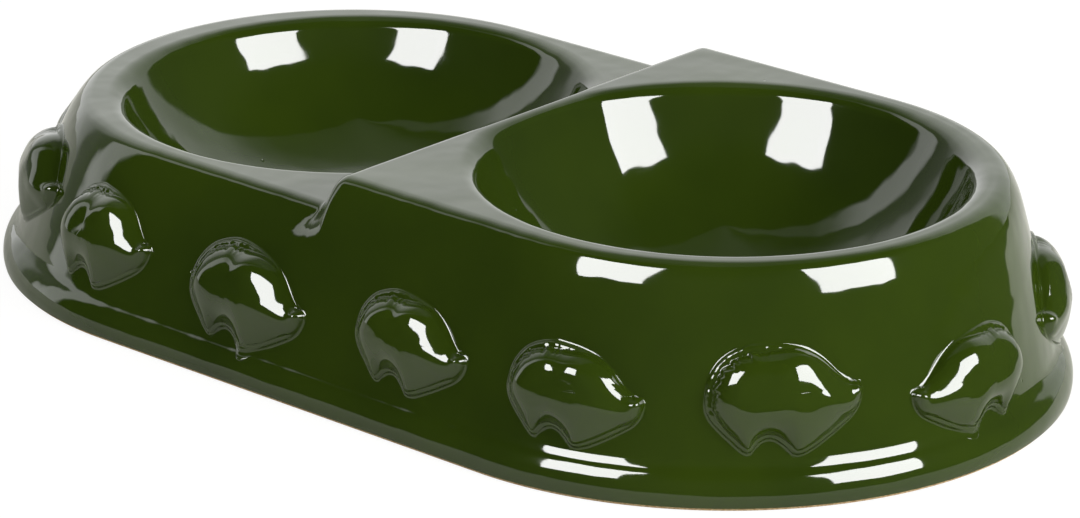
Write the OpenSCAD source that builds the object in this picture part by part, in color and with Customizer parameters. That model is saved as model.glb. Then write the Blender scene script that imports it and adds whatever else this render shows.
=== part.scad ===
// Double pet bowl: a two-tier oval stoneware feeder with a ring of raised hedgehogs.
// X runs along the length towards the higher bowl, Y across, Z up from the table.
// The wall is one lofted skin; the decks, the step and the two bowls are seated in it.

/* [Bowls] */
// Inner radius of the bowls just under the lip
bowl_radius = 57.3; // [51:0.1:67]
// Radius of the rolled lip
lip_radius = 5; // [4:0.1:6]
// Thickness of the web between the two bowls
bowl_web = 4; // [3:0.1:7]
// How far that web lies from the middle of the foot, towards the upper bowl
web_offset = 4.3; // [3:0.1:5.5]
// Slope of the bowl's side from upright under the lip
bowl_draft = 25; // [20:1:30]
// Radius of the bowl's level floor
bowl_floor_radius = 8; // [4:0.5:12]
// Height of the bowl's floor over the table
bowl_floor_height = 12.5; // [10:0.5:15]
// Thickness of the bowls
bowl_thickness = 5; // [4:0.1:6]

/* [Decks] */
// Height of the lower deck
lower_height = 43.8; // [40:0.1:50]
// Height of the step from the lower deck up to the upper deck
step_height = 8.5; // [6:0.1:10]
// Width of the rim between a bowl's lip and the deck's edge
deck_margin = 1.3; // [1.1:0.1:3]
// How far the lower deck's round end is centred beyond its bowl
lower_deck_reach = 3.2; // [1:0.1:5]
// Thickness of the decks and of the step
deck_thickness = 5; // [3.5:0.1:5.8]
// Slope of the step
step_angle = 55; // [48:1:65]
// Radius of the step's upper edge
step_top_radius = 4; // [3:0.1:5]
// Radius of the hollow at the step's foot
step_foot_radius = 2; // [1:0.1:3]

/* [Wall] */
// Thickness of the outer wall
wall_thickness = 5.5; // [4:0.1:7]
// Radius of the shoulder between wall and deck
shoulder_radius = 7; // [5:0.5:9]
// How far inside the deck's edge the shoulder is centred
shoulder_inset = 0.7; // [0.4:0.1:1]
// How far the foot stands out beyond the decks all round
wall_flare = 21.4; // [19:0.1:25]

/* [Foot] */
// How much farther apart the foot's round ends are centred than the bowls
foot_spread = 4.8; // [2:0.2:9]
// Height of the bare clay that shows under the glaze
bare_height = 0.8; // [0.5:0.1:1.5]
// Width of the bare ring that the bowl stands on
foot_ring_width = 7.5; // [5:0.1:9]
// Inset of the bare ring from the widest part of the foot
foot_ring_inset = 1.5; // [0.8:0.1:2.5]
// Height of the widest part of the foot
edge_height = 2.4; // [1.8:0.1:3.5]
// Radius of the foot's edge above its widest part
edge_radius = 7.5; // [6:0.1:8.5]
// Radius of the foot's edge below its widest part
heel_radius = 6; // [4:0.1:8]
// Radius of the hollow flare between the foot and the wall
flare_radius = 9; // [7:0.5:10]

/* [Hedgehogs] */
// Number of hedgehogs round the wall
hedgehog_count = 15; // [12:1:16]
// Length of a hedgehog from tail to nose
hedgehog_length = 36.5; // [30:0.5:38]
// Height of a hedgehog from feet to back
hedgehog_height = 24.4; // [20:0.2:26]
// Height of the hedgehogs' feet over the table
hedgehog_foot_height = 10; // [9.5:0.1:11.5]
// How far a hedgehog stands out from the wall
hedgehog_depth = 6; // [4:0.1:7]

/* [Joints] */
// Clearance between neighbouring pieces
joint_gap = 0.15; // [0.1:0.05:0.3]

/* [Hidden] */
HEDGEHOGS = [for (i = [1:hedgehog_count]) str("hedgehog_relief_", i < 10 ? "0" : "", i)];

$fn = 120;
// Overrun of every cut
overrun = 1;
// Angle at which the foot's edge turns into the flare, and lean of the wall at the flare's top
flare_angle = 50;
wall_lean = 18;
// Number of sides of each round end and of the arcs in the wall's section
end_sides = 36;
arc_sides = 4;
// Number of sides of a bowl's dished side
dish_sides = 20;

glaze_colour = "#4a5a1c";
bare_colour = "#c9a679";

// Plan, worked outwards from the bowls: lips, decks, then the foot
lip_outer_radius = bowl_radius + lip_radius;
deck_radius = lip_outer_radius + deck_margin;
foot_radius = deck_radius + wall_flare;
lower_bowl_x = web_offset - bowl_web / 2 - bowl_radius;
upper_bowl_x = web_offset + bowl_web / 2 + bowl_radius;
lower_deck_x = lower_bowl_x - lower_deck_reach;
upper_deck_x = upper_bowl_x;
foot_span = upper_bowl_x - lower_bowl_x + foot_spread;

// Middle of the shoulder's arc, and the angle at which that arc meets the deck's edge
shoulder_centre_radius = deck_radius - shoulder_inset;
shoulder_angle = acos(shoulder_inset / shoulder_radius);

// Section of the foot, worked upwards: edge, flare, then the waist where the wall starts
edge_centre = [foot_radius - edge_radius, edge_height];
heel_centre = [foot_radius - heel_radius, edge_height];
heel_angle = asin((edge_height - bare_height) / heel_radius);
flare_centre = edge_centre + (edge_radius + flare_radius) * [cos(flare_angle), sin(flare_angle)];
waist = flare_centre - flare_radius * [cos(wall_lean), sin(wall_lean)];
foot_inner_radius = foot_radius - foot_ring_inset - foot_ring_width;

// Section of the step along the length; its upper edge ends over the middle of the web
upper_height = lower_height + step_height;
step_end_x = web_offset;
step_foot_x = step_end_x - step_top_radius * tan(step_angle / 2) - step_height / tan(step_angle);
step_start_x = step_foot_x - step_foot_radius * tan(step_angle / 2);

// Path that the hedgehogs follow, measured round the wall at their middle height
path_height = hedgehog_foot_height + hedgehog_height / 2;
path_radius = wall_radius(path_height, (lower_height + upper_height) / 2);
path_quarter = path_radius * PI / 2;
path_length = 4 * path_quarter + 2 * foot_span;

// How far each hedgehog is set off its even place, in shares of the spacing
place_shares = [-0.18, -0.08, -0.15, -0.1, -0.02, -0.07, -0.09, -0.06, 0.05, -0.02, 0.03, -0.02,
                -0.06, -0.1, -0.14, -0.1];
// Hedgehogs that walk counter-clockwise come first, the rest walk clockwise
leading_hedgehogs = 7;

// Outline of a hedgehog from the nose over the back and feet, in shares of length and height
outline_shares = [[1, 0.55], [0.965, 0.605], [0.91, 0.62], [0.84, 0.7], [0.74, 0.84], [0.63, 0.935],
                  [0.52, 0.98], [0.4, 1], [0.28, 1], [0.17, 0.945], [0.085, 0.86], [0.025, 0.73],
                  [0, 0.6], [0, 0.45], [0.03, 0.34], [0.09, 0.24], [0.16, 0.15], [0.22, 0.07],
                  [0.265, 0.03], [0.3, 0.05], [0.335, 0.12], [0.385, 0.155], [0.44, 0.14],
                  [0.5, 0.075], [0.545, 0.01], [0.59, 0], [0.65, 0.035], [0.72, 0.095],
                  [0.83, 0.2], [0.935, 0.315], [0.985, 0.425]];
// Middle of the hedgehog's dome, and the shares at which its rings lie and rise
dome_centre_shares = [0.42, 0.56];
ring_shares = [1, 0.93, 0.75, 0.42];
rise_shares = [0, 0.55, 0.88, 0.98];
base_ring_shares = [1, 0.7, 0.35];
// Share of the depth left at the nose, and where along the length the snout starts to thin
nose_depth_share = 0.5;
snout_start_share = 0.55;
// Share of the depth left at the feet, and where up the body the belly is at its full depth
foot_depth_share = 0.3;
belly_top_share = 0.6;

function lerp(a, b, t) = a + (b - a) * t;
function clamp(v, low, high) = min(max(v, low), high);
function flip(list) = [for (i = [len(list) - 1:-1:0]) list[i]];
function after(list) = [for (i = [1:len(list) - 1]) list[i]];

// Points of an arc; both ends are included
function arc(centre, radius, from, to, sides) =
    [for (i = [0:sides]) centre + radius * [cos(lerp(from, to, i / sides)), sin(lerp(from, to, i / sides))]];

// Lean of the straight wall that touches the shoulder of a deck of this height
function lean_at(top) =
    let (reach = [waist.x - shoulder_centre_radius, top - shoulder_radius - waist.y])
    atan2(reach.x, reach.y) - asin(shoulder_radius / norm(reach));

// Height of the wall's highest straight point under a deck of this height
function shoulder_start(top) = top - shoulder_radius + shoulder_radius * sin(lean_at(top));

// Outer half width of the wall at a height
function wall_radius(z, top) = z >= waist.y
    ? waist.x - (z - waist.y) * tan(lean_at(top))
    : flare_centre.x - sqrt(pow(flare_radius, 2) - pow(flare_centre.y - z, 2));

// How far the round ends have moved from the foot's centres to the decks' centres
function shift_share(z, top) = clamp((z - waist.y) / (shoulder_start(top) - waist.y), 0, 1);

// Height of the top along the length: lower deck, step, upper deck
function top_at(x) =
    x <= step_start_x ? lower_height :
    x >= step_end_x ? upper_height :
    x < step_start_x + step_foot_radius * sin(step_angle)
        ? lower_height + step_foot_radius - sqrt(pow(step_foot_radius, 2) - pow(x - step_start_x, 2)) :
    x > step_end_x - step_top_radius * sin(step_angle)
        ? upper_height - step_top_radius + sqrt(pow(step_top_radius, 2) - pow(step_end_x - x, 2)) :
    lower_height + (x - step_foot_x) * tan(step_angle);

// Step profile from the lower deck up to the upper deck
function step_profile() = concat(
    arc([step_start_x, lower_height + step_foot_radius], step_foot_radius, -90, -90 + step_angle, arc_sides),
    arc([step_end_x, upper_height - step_top_radius], step_top_radius, 90 + step_angle, 90, arc_sides));

// Plan position of a wall column: kind 0 upper end, 1 back side, 2 lower end, 3 front side
function plan_point(column, share, radius) =
    let (low = lerp(-foot_span / 2, lower_deck_x, share), high = lerp(foot_span / 2, upper_deck_x, share))
    column[0] == 0 ? [high + radius * cos(column[1]), radius * sin(column[1])] :
    column[0] == 1 ? [lerp(high, low, column[1]), radius] :
    column[0] == 2 ? [low + radius * cos(column[1]), radius * sin(column[1])] :
    [lerp(low, high, column[1]), -radius];

// Columns of the wall, each with its kind, its angle or share, and the height of its top
function wall_columns() =
    let (steps = step_profile(), length = upper_deck_x - lower_deck_x)
    concat(
        [for (i = [0:end_sides]) [0, -90 + 180 * i / end_sides, upper_height]],
        [for (p = flip(steps)) [1, (upper_deck_x - p.x) / length, p.y]],
        [for (i = [0:end_sides]) [2, 90 + 180 * i / end_sides, lower_height]],
        [for (p = steps) [3, (p.x - lower_deck_x) / length, p.y]]);

// Section of the wall under a deck of this height: [share of shift, half width, height]
function wall_section(top) =
    let (lean = lean_at(top), under = top - deck_thickness)
    concat(
        [[0, foot_inner_radius, bare_height]],
        [for (p = arc(heel_centre, heel_radius, -heel_angle, 0, arc_sides)) [0, p.x, p.y]],
        [for (p = after(arc(edge_centre, edge_radius, 0, flare_angle, arc_sides))) [0, p.x, p.y]],
        [for (p = after(arc(flare_centre, -flare_radius, flare_angle, wall_lean, arc_sides))) [0, p.x, p.y]],
        [for (p = arc([shoulder_centre_radius, top - shoulder_radius], shoulder_radius, lean, shoulder_angle,
                      2 * arc_sides)) [1, p.x, p.y]],
        [[1, deck_radius, under]],
        [[0, waist.x - wall_thickness, waist.y]]);

// Closed skin swept round the columns
module wall_skin() {
    columns = wall_columns();
    count = len(columns);
    levels = len(wall_section(upper_height));
    points = [for (column = columns) for (p = wall_section(column[2]))
        concat(plan_point(column, p[0], p[1]), p[2])];
    faces = [for (c = [0:count - 1]) for (l = [0:levels - 1])
        let (a = c * levels + l, b = ((c + 1) % count) * levels + l,
             d = c * levels + (l + 1) % levels, e = ((c + 1) % count) * levels + (l + 1) % levels)
        for (face = [[a, e, b], [a, d, e]]) face];
    polyhedron(points, faces, convexity = 6);
}

// Place on the wall: distance round the path from the upper end, height, and distance off the wall
function wall_point(s, z, off) =
    let (a = abs(s), side = s < 0 ? -1 : 1, on_end = a < path_quarter, past = a > path_quarter + foot_span,
         along = clamp((a - path_quarter) / foot_span, 0, 1),
         angle = on_end ? a / path_radius * 180 / PI
             : past ? 90 + (a - path_quarter - foot_span) / path_radius * 180 / PI : 90,
         top = top_at(lerp(upper_deck_x, lower_deck_x, along)),
         share = shift_share(z, top),
         centre = lerp(lerp(foot_span / 2, upper_deck_x, share), lerp(-foot_span / 2, lower_deck_x, share), along),
         radius = wall_radius(z, top) + off)
    [centre + radius * cos(angle), side * radius * sin(angle), z];

// Depth of the hedgehog at shares of its length and height: thinner at the snout and at the feet
function depth_at(shares) = hedgehog_depth
    * lerp(1, nose_depth_share, clamp((shares.x - snout_start_share) / (1 - snout_start_share), 0, 1))
    * lerp(foot_depth_share, 1, clamp(shares.y / belly_top_share, 0, 1));

// Point of a hedgehog at shares of its length and height, standing off the wall
function hedgehog_point(middle, facing, shares, off) =
    wall_point(middle + facing * (shares.x - 1 / 2) * hedgehog_length,
               hedgehog_foot_height + shares.y * hedgehog_height, off);

// Domed relief: rings shrink from the outline to the middle and rise off the wall
module hedgehog(middle, facing) {
    sides = len(outline_shares);
    tops = len(ring_shares);
    bases = len(base_ring_shares);
    centre = dome_centre_shares;
    points = concat(
        [for (r = [0:tops - 1]) for (p = outline_shares)
            let (q = lerp(centre, p, ring_shares[r]))
            hedgehog_point(middle, facing, q, joint_gap + rise_shares[r] * depth_at(q))],
        [hedgehog_point(middle, facing, centre, joint_gap + depth_at(centre))],
        [for (r = [1:bases - 1]) for (p = outline_shares)
            hedgehog_point(middle, facing, lerp(centre, p, base_ring_shares[r]), joint_gap)],
        [hedgehog_point(middle, facing, centre, joint_gap)]);
    crown = tops * sides;
    under = crown + 1;
    base_centre = under + (bases - 1) * sides;
    // Start of a base ring; the outermost is the outline itself
    function base_ring(r) = r == 0 ? 0 : under + (r - 1) * sides;
    faces = concat(
        [for (r = [0:tops - 2]) for (i = [0:sides - 1])
            let (j = (i + 1) % sides, a = r * sides, b = (r + 1) * sides)
            for (face = [[a + i, b + j, a + j], [a + i, b + i, b + j]]) face],
        [for (i = [0:sides - 1]) [(tops - 1) * sides + i, crown, (tops - 1) * sides + (i + 1) % sides]],
        [for (r = [0:bases - 2]) for (i = [0:sides - 1])
            let (j = (i + 1) % sides, a = base_ring(r), b = base_ring(r + 1))
            for (face = [[a + i, a + j, b + j], [a + i, b + j, b + i]]) face],
        [for (i = [0:sides - 1]) [base_ring(bases - 1) + i, base_ring(bases - 1) + (i + 1) % sides, base_centre]]);
    polyhedron(points, facing > 0 ? faces : [for (face = faces) flip(face)], convexity = 4);
}

// Hedgehog number index, counted along the front from the lower end, then round the back
module hedgehog_relief(index) {
    spacing = path_length / hedgehog_count;
    middle = (index - leading_hedgehogs + place_shares[index]) * spacing;
    color(glaze_colour) hedgehog(middle, index < leading_hedgehogs ? 1 : -1);
}

// Flat oval of a given half width between two end centres
module oval(low_x, high_x, radius) {
    translate([low_x, 0]) circle(radius);
    translate([high_x, 0]) circle(radius);
    translate([low_x, -radius]) square([high_x - low_x, 2 * radius]);
}

// Everything beyond a plane across the length, between two heights
module beyond(x, bottom, top) {
    reach = foot_span + 2 * foot_radius;
    translate([x, -foot_radius - overrun, bottom]) cube([reach, 2 * (foot_radius + overrun), top - bottom]);
}

// Half section of a dished side: level at the floor's edge, at the bowl's slope from upright at its top
function dished_side(top) =
    let (reach = top.x - bowl_floor_radius, rise = top.y,
         turn = acos(1 / (reach / rise / tan(bowl_draft) - 1)))
    [for (i = [0:dish_sides]) let (t = turn * i / dish_sides)
        [bowl_floor_radius + reach * sin(t) / sin(turn), rise * (1 - cos(t)) / (1 - cos(turn))]];

// Point where a lip runs over into the bowl's side
function lip_start(rim) =
    [lip_outer_radius - lip_radius * cos(bowl_draft), rim - lip_radius + lip_radius * sin(bowl_draft)];

// Section of a bowl whose rim is at this height: floor, side, lip, then back outside
function bowl_section(rim) =
    let (under = rim - deck_thickness, bottom = bowl_floor_height - bowl_thickness,
         inside = dished_side(lip_start(rim) - [0, bowl_floor_height]),
         outside = dished_side([lip_outer_radius, under - bottom]))
    concat(
        [[0, bowl_floor_height]],
        [for (p = inside) p + [0, bowl_floor_height]],
        after(arc([lip_outer_radius, rim - lip_radius], lip_radius, 180 - bowl_draft, 90, 2 * arc_sides)),
        [for (p = flip(outside)) p + [0, bottom]],
        [[0, bottom]]);

module bowl_shell(x, rim) {
    translate([x, 0, 0]) rotate_extrude() polygon(bowl_section(rim));
}

// Open space over the lip of a bowl
module lip_space(x, rim) {
    translate([x, 0, 0]) rotate_extrude() polygon(concat(
        [[0, rim - lip_radius]],
        arc([lip_outer_radius, rim - lip_radius], lip_radius, 180, 90, 2 * arc_sides),
        [[lip_outer_radius, rim + overrun], [0, rim + overrun]]));
}

// Deck plate with its bowl's hole, before it is cut at the step
module deck_plate(bowl_x, height) {
    translate([0, 0, height - deck_thickness]) linear_extrude(deck_thickness) difference() {
        oval(lower_deck_x, upper_deck_x, deck_radius - joint_gap);
        translate([bowl_x, 0]) circle(lip_outer_radius + joint_gap);
    }
}

module foot_ring() {
    color(bare_colour) linear_extrude(bare_height) difference() {
        oval(-foot_span / 2, foot_span / 2, foot_radius - foot_ring_inset);
        oval(-foot_span / 2, foot_span / 2, foot_inner_radius);
    }
}

module outer_wall() {
    color(glaze_colour) wall_skin();
}

module lower_deck() {
    color(glaze_colour) difference() {
        deck_plate(lower_bowl_x, lower_height);
        beyond(step_start_x - joint_gap, lower_height - deck_thickness - overrun, lower_height + overrun);
    }
}

module upper_deck() {
    color(glaze_colour) intersection() {
        deck_plate(upper_bowl_x, upper_height);
        beyond(step_end_x + joint_gap, upper_height - deck_thickness - overrun, upper_height + overrun);
    }
}

module step_riser() {
    half_width = deck_radius - joint_gap;
    under = lower_height - deck_thickness;
    color(glaze_colour) difference() {
        translate([0, half_width, 0]) rotate([90, 0, 0]) linear_extrude(2 * half_width)
            polygon(concat(step_profile(), [[step_end_x, under], [step_start_x, under]]));
        translate([lower_bowl_x, 0, under - overrun]) cylinder(r1 = lip_start(lower_height).x
            - (deck_thickness + overrun) * tan(bowl_draft), r2 = bowl_radius, h = deck_thickness + overrun);
        translate([lower_bowl_x, 0, lower_height - overrun]) cylinder(r = bowl_radius, h = upper_height);
        lip_space(upper_bowl_x, upper_height);
    }
}

module lower_bowl() {
    under = lower_height - deck_thickness;
    color(glaze_colour) difference() {
        bowl_shell(lower_bowl_x, lower_height);
        beyond(step_end_x - joint_gap, -overrun, upper_height);
        beyond(step_start_x - joint_gap, under - joint_gap, upper_height);
    }
}

module upper_bowl() {
    color(glaze_colour) intersection() {
        bowl_shell(upper_bowl_x, upper_height);
        beyond(step_end_x, -overrun, upper_height + overrun);
    }
}

foot_ring();
outer_wall();
lower_deck();
upper_deck();
step_riser();
lower_bowl();
upper_bowl();
for (i = [0:hedgehog_count - 1])
    hedgehog_relief(i);
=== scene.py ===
"""Dresses the double pet bowl: a two-tier oval stoneware feeder, cast in one piece, with raised
hedgehogs round its wall, under one dark green glaze that stops just above a bare foot."""

import math

import bpy
import numpy as np
from mathutils import Matrix


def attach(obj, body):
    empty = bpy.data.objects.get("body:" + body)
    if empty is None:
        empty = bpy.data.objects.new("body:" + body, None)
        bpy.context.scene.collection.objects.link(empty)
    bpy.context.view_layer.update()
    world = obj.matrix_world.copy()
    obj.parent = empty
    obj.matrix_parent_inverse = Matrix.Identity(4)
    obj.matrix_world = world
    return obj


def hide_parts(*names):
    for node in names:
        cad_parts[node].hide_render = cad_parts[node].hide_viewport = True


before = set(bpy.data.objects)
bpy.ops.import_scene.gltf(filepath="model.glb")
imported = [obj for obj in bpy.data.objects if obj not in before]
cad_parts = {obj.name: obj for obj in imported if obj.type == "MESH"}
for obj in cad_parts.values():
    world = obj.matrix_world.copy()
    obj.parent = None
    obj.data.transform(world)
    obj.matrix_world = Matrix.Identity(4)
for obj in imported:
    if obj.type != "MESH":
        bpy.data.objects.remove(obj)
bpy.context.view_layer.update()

# Shapes are worked out in millimetres and written to the meshes in metres
MM = 0.001
QUARTER_TURN = math.pi / 2

# Bowls, as in the part's source, and the level middle of each floor
BOWL_RADIUS = 57.3
LIP_RADIUS = 5.0
LIP_OUTER = BOWL_RADIUS + LIP_RADIUS
LOWER_BOWL_X = -55.0
UPPER_BOWL_X = 63.6
BOWL_FLOOR = 12.5
BOWL_THICKNESS = 5.0
LOWER_FLOOR_RADIUS = 12.5
UPPER_FLOOR_RADIUS = 3.0

# Over the web between the bowls a lip has less room: how softly it gives way, the share of the lost
# width that its roll loses, and the share of the room past its inner edge that it may take
WEB_SOFTNESS = 0.5
WEB_ROLL_SHARE = 0.6
LIP_ROOM_SHARE = 0.7
# Part of the web that goes with the upper bowl: half its length, and its reach past the step's end
WEB_HALF_LENGTH = 22
WEB_REACH = 3

# Decks and the step between them
LOWER_HEIGHT = 43.8
UPPER_HEIGHT = 52.3
DECK_RADIUS = 63.6
DECK_THICKNESS = 5.0
LOWER_DECK_X = -58.2
UPPER_DECK_X = 63.6
STEP_SLOPE = math.radians(55)
STEP_TOP_RADIUS = 4.0
STEP_FOOT_RADIUS = 2.0
STEP_END = 4.3
STEP_FOOT = (STEP_END - STEP_TOP_RADIUS * math.tan(STEP_SLOPE / 2)
             - (UPPER_HEIGHT - LOWER_HEIGHT) / math.tan(STEP_SLOPE))
STEP_START = STEP_FOOT - STEP_FOOT_RADIUS * math.tan(STEP_SLOPE / 2)
HOLLOW_END = STEP_START + STEP_FOOT_RADIUS * math.sin(STEP_SLOPE)
ROLL_START = STEP_END - STEP_TOP_RADIUS * math.sin(STEP_SLOPE)

# Shoulder: under the deck's edge it turns tightly, then runs out into the wall in a long easing
SHOULDER = 4.4
SHOULDER_TURN = math.radians(51)
EASING = 11.0
SHOULDER_OUT = DECK_RADIUS + SHOULDER * math.sin(SHOULDER_TURN)
SHOULDER_DROP = SHOULDER * (1 - math.cos(SHOULDER_TURN))
SHOULDER_SLOPE = 1 / math.tan(SHOULDER_TURN)

# Wall and foot. The wall leans less under the lower deck, and down the wall the step between the two
# leans spreads and fades, by this much at 1 mm and with this power of the depth
WALL_THICKNESS = 5.5
STEP_SPREAD = 0.12
STEP_SPREAD_POWER = 1.5
FOOT_SPAN = 123.4
FOOT_RADIUS = 85.0
BARE_HEIGHT = 0.8
EDGE_HEIGHT = 2.4
EDGE_RADIUS = 7.5
HEEL_RADIUS = 6.0
FLARE_RADIUS = 6.0
FLARE_ANGLE = math.radians(50)
WALL_LEAN = math.radians(18)
EDGE_CENTRE = (FOOT_RADIUS - EDGE_RADIUS, EDGE_HEIGHT)
HEEL_CENTRE = (FOOT_RADIUS - HEEL_RADIUS, EDGE_HEIGHT)
HEEL_ANGLE = math.asin((EDGE_HEIGHT - BARE_HEIGHT) / HEEL_RADIUS)
FLARE_CENTRE = (EDGE_CENTRE[0] + (EDGE_RADIUS + FLARE_RADIUS) * math.cos(FLARE_ANGLE),
                EDGE_CENTRE[1] + (EDGE_RADIUS + FLARE_RADIUS) * math.sin(FLARE_ANGLE))
WAIST = (FLARE_CENTRE[0] - FLARE_RADIUS * math.cos(WALL_LEAN),
         FLARE_CENTRE[1] - FLARE_RADIUS * math.sin(WALL_LEAN))
FOOT_INNER = 76.0
FOOT_OUTER = 84.2
FOOT_RUBBED = 0.35

# Points round the plan: a half circle, the sides of the decks, and the step's roll, slope and hollow
END_COLUMNS = 121
UPPER_SIDE_COLUMNS = 20
LOWER_SIDE_COLUMNS = 19
ROLL_COLUMNS = 11
SLOPE_COLUMNS = 5
HOLLOW_COLUMNS = 8
SEAM_COLUMNS = 133
# Points down the wall's section
SHOULDER_ROWS = 12
WALL_ROWS = 34
FLARE_ROWS = 10
EDGE_ROWS = 10
HEEL_ROWS = 5
# Points along a ray from a bowl's middle
FLOOR_ROWS = 3
SIDE_ROWS = 32
LIP_ROWS = 14
BOWL_ROWS = FLOOR_ROWS + SIDE_ROWS + LIP_ROWS
LOWER_DECK_ROWS = 26
UPPER_DECK_ROWS = 12
# Last rows of a bowl's side, which stretch where the lip climbs the step
STRETCHED_ROWS = 8
# How close the deck's rows lie along the length at a bend of the step, elsewhere, and on any ray
BEND_CROWDING = 3.2
FLAT_CROWDING = 0.4
LEAST_CROWDING = 0.25
RAY_SAMPLES = 160
# Points within a thousandth of a millimetre are one
WELD_DIGITS = 3

# Pieces of the glazed skin and the CAD nodes that they stand for, in the order of the faces' tags
SKIN_PIECES = (("wall_glazed", "outer_wall"), ("lower_deck_glazed", "lower_deck"),
               ("upper_deck_glazed", "upper_deck"), ("step_riser_glazed", "step_riser"),
               ("lower_bowl_glazed", "lower_bowl"), ("upper_bowl_glazed", "upper_bowl"))
WALL, LOWER_DECK, UPPER_DECK, STEP_RISER, LOWER_BOWL, UPPER_BOWL = range(len(SKIN_PIECES))

# Hedgehogs, as in the part's source
HEDGEHOG_COUNT = 15
HEDGEHOG_LENGTH = 36.5
HEDGEHOG_HEIGHT = 24.4
HEDGEHOG_FOOT = 10.0
HEDGEHOG_DEPTH = 6.0
# The first ones walk towards the upper end and the rest against them. How far each stands from its
# even place, in shares of their spacing
LEADING_HEDGEHOGS = 7
PLACE_SHARES = (-0.18, -0.08, -0.15, -0.1, -0.02, -0.07, -0.09, -0.06, 0.05, -0.02, 0.03, -0.02,
                -0.06, -0.1, -0.14)
# Outline from the nose over the back and feet, in shares of length and height
OUTLINE_SHARES = ((1, 0.55), (0.965, 0.605), (0.91, 0.62), (0.84, 0.7), (0.74, 0.84), (0.63, 0.935),
                  (0.52, 0.98), (0.4, 1), (0.28, 1), (0.17, 0.945), (0.085, 0.86), (0.025, 0.73),
                  (0, 0.6), (0, 0.45), (0.03, 0.34), (0.09, 0.24), (0.16, 0.15), (0.22, 0.07),
                  (0.265, 0.03), (0.3, 0.05), (0.335, 0.12), (0.385, 0.155), (0.44, 0.14),
                  (0.5, 0.075), (0.545, 0.01), (0.59, 0), (0.65, 0.035), (0.72, 0.095),
                  (0.83, 0.2), (0.935, 0.315), (0.985, 0.425))
OUTLINE_STEPS = 8
# Rings of points from just outside the outline inwards in mm, then as shares of the last of them
EDGE_STEPS = np.array([-1.25, -1.0, -0.78, -0.58, -0.4, -0.25, -0.12, 0, 0.12, 0.25, 0.4, 0.58, 0.78,
                       1.0, 1.2, 1.4, 1.6, 1.8, 2.0, 2.2, 2.45, 2.75, 3.1, 3.5, 4.0, 4.7, 5.5])
INNER_SHARES = (0.9, 0.8, 0.69, 0.57, 0.45, 0.33, 0.21, 0.1)
BODY_MIDDLE_SHARES = (0.42, 0.56)
# The way in from the outline is softened from this distance on, over this run, to no more than this
# many times the distance
SOFT_START, SOFT_RUN, SOFT_MOST = 0.8, 1.4, 1.2
# Depth thins past this share of the length to this share at the nose, and under this share of the
# height to this share at the feet
NOSE_START, NOSE_THIN = 0.55, 0.55
FOOT_START, FOOT_THIN = 0.5, 0.62
# Glaze in the corner outside the outline, then a flange, both with their height and run
FILLET_HEIGHT, FILLET_RUN = 0.4, 0.25
FLANGE_HEIGHT, FLANGE_RUN, FLANGE_WIDTH = 0.75, 0.45, 0.95
# Headings in degrees from the body's middle, each with its run: the spines start over the forehead and
# end at the tail, and the flange leaves out the face
SPINES_FROM, SPINES_TO = (62, 50), (185, 40)
FACE_FROM, FACE_TO = (-24, 16), (35, 65)
# The heading at which the count starts again, under the feet
HEADING_SEAM = -120
# Spines: width, height and run of their ledge, how ragged its inner edge is, how soon that fades,
# and the height, rate per mm and phase of the waves that make it ragged
SPINE_WIDTH, SPINE_HEIGHT, SPINE_RUN, SPINE_RAGGED, SPINE_FADE = 0.75, 0.16, 0.5, 0.5, 1.1
RAGGED_WAVES = ((1.0, 1.35, 0.7), (0.8, 2.3, 1.9), (0.7, 3.7, 0.4))
# Dome: its run, its least height, and the powers that round it at the top and at its edge
DOME_RUN, DOME_LEAST, DOME_TOP, DOME_EDGE = 6.8, 0.3, 2.1, 0.75
# Nose button and cheek: place in shares of length and height, radius, height
SWELLINGS = ((0.957, 0.53, 1.3, 0.55), (0.74, 0.5, 3.4, 0.3))
SWELLING_RUN = 0.8
# The edge is pressed in a little, so that it melts into the wall, and the back is hidden in the wall
PRESSED_IN = 0.03
BACK_DEPTH = 0.8
# Most hedgehogs were pressed on a little out of line. By their place in the row, from 0: shift along
# the wall and lift in mm, droop of the nose, then shares of length and height
PRESSED = {1: (-1.0, 3.2, 0.0, 0.93, 0.9), 2: (-1.0, 1.0, 0.03, 0.9, 0.9),
           3: (-1.0, -1.5, 0.05, 1.04, 0.93), 4: (-0.9, 1.2, 0.04, 0.94, 0.87),
           5: (0.0, 0.7, 0.03, 0.92, 0.88), 6: (0.5, 1.5, 0.0, 0.98, 0.99),
           7: (-0.7, -1.2, 0.02, 1.0, 0.89), 8: (3.0, -0.6, 0.1, 0.98, 0.94),
           10: (0.0, 0.8, 0.03, 0.95, 0.94), 12: (0.0, 0.6, -0.03, 0.97, 0.95),
           14: (0.0, 1.2, 0.02, 0.94, 0.93)}
UNPRESSED = (0.0, 0.0, 0.0, 1.0, 1.0)

# Map of the wall that the hedgehogs are pressed on: how far it runs on past both ends, its points
# round the wall, the height that it is a share of, and the heights of its rows, closest at the foot
GUIDE_OVERRUN = 40
GUIDE_COLUMNS = 640
GUIDE_HEIGHT = 50
GUIDE_ROWS = np.concatenate([np.linspace(4, 12, 12)[:-1], np.linspace(12, 42, 24)])


# Shapes of the cast body

def blend(a, b, t):
    """Value between a and b at share t."""
    return a + (b - a) * t


def smooth(t):
    """Soft step from 0 to 1."""
    t = np.clip(t, 0, 1)
    return t * t * (3 - 2 * t)


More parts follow.
